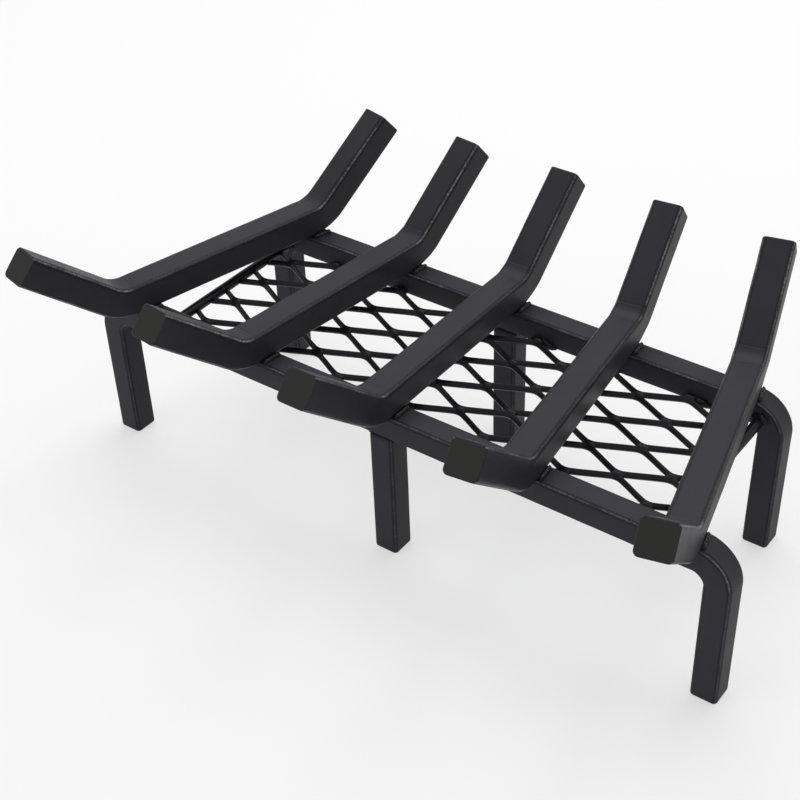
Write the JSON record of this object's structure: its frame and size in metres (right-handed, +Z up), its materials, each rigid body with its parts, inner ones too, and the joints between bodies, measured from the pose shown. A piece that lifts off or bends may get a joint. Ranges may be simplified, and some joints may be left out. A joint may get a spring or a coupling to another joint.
{
  "type": "log grate",
  "caption": "Fireplace log grate: bent square steel bars fanned across two rails on legs, with an expanded-metal ember mesh below.",
  "frame": {"origin": "on the floor, in the middle of the grate's overall length and depth", "axes": "+X along the rails to the right, +Y from the front rail to the rear rail, +Z up"},
  "size_m": [0.428, 0.2714, 0.164],
  "materials": {
    "bar_coating": "satin black powder coat",
    "rail_coating": "satin black powder coat",
    "mesh_coating": "satin black powder coat",
    "weld_coating": "satin black powder coat over rippled weld metal"
  },
  "bodies": {
    "root": {"log_bar_1": "bar_coating", "log_bar_2": "bar_coating", "log_bar_3": "bar_coating", "log_bar_4": "bar_coating", "log_bar_5": "bar_coating", "front_rail": "rail_coating", "rear_rail": "rail_coating", "front_middle_leg": "rail_coating", "rear_middle_leg": "rail_coating", "ember_mesh": "mesh_coating", "left_end_rod": "mesh_coating", "right_end_rod": "mesh_coating", "weld_bar_1_front_left": "weld_coating", "weld_bar_1_front_right": "weld_coating", "weld_bar_1_rear_left": "weld_coating", "weld_bar_1_rear_right": "weld_coating", "weld_bar_2_front_left": "weld_coating", "weld_bar_2_front_right": "weld_coating", "weld_bar_2_rear_left": "weld_coating", "weld_bar_2_rear_right": "weld_coating", "weld_bar_3_front_left": "weld_coating", "weld_bar_3_front_right": "weld_coating", "weld_bar_3_rear_left": "weld_coating", "weld_bar_3_rear_right": "weld_coating", "weld_bar_4_front_left": "weld_coating", "weld_bar_4_front_right": "weld_coating", "weld_bar_4_rear_left": "weld_coating", "weld_bar_4_rear_right": "weld_coating", "weld_bar_5_front_left": "weld_coating", "weld_bar_5_front_right": "weld_coating", "weld_bar_5_rear_left": "weld_coating", "weld_bar_5_rear_right": "weld_coating", "weld_front_middle_leg_left": "weld_coating", "weld_front_middle_leg_right": "weld_coating", "tack_front_1": "weld_coating", "tack_front_2": "weld_coating", "tack_front_3": "weld_coating", "tack_front_4": "weld_coating", "tack_front_5": "weld_coating", "tack_front_6": "weld_coating", "weld_left_rod_front": "weld_coating", "weld_right_rod_front": "weld_coating", "weld_rear_middle_leg_left": "weld_coating", "weld_rear_middle_leg_right": "weld_coating", "tack_rear_1": "weld_coating", "tack_rear_2": "weld_coating", "tack_rear_3": "weld_coating", "tack_rear_4": "weld_coating", "tack_rear_5": "weld_coating", "tack_rear_6": "weld_coating", "weld_left_rod_rear": "weld_coating", "weld_right_rod_rear": "weld_coating"}
  },
  "joints": []
}
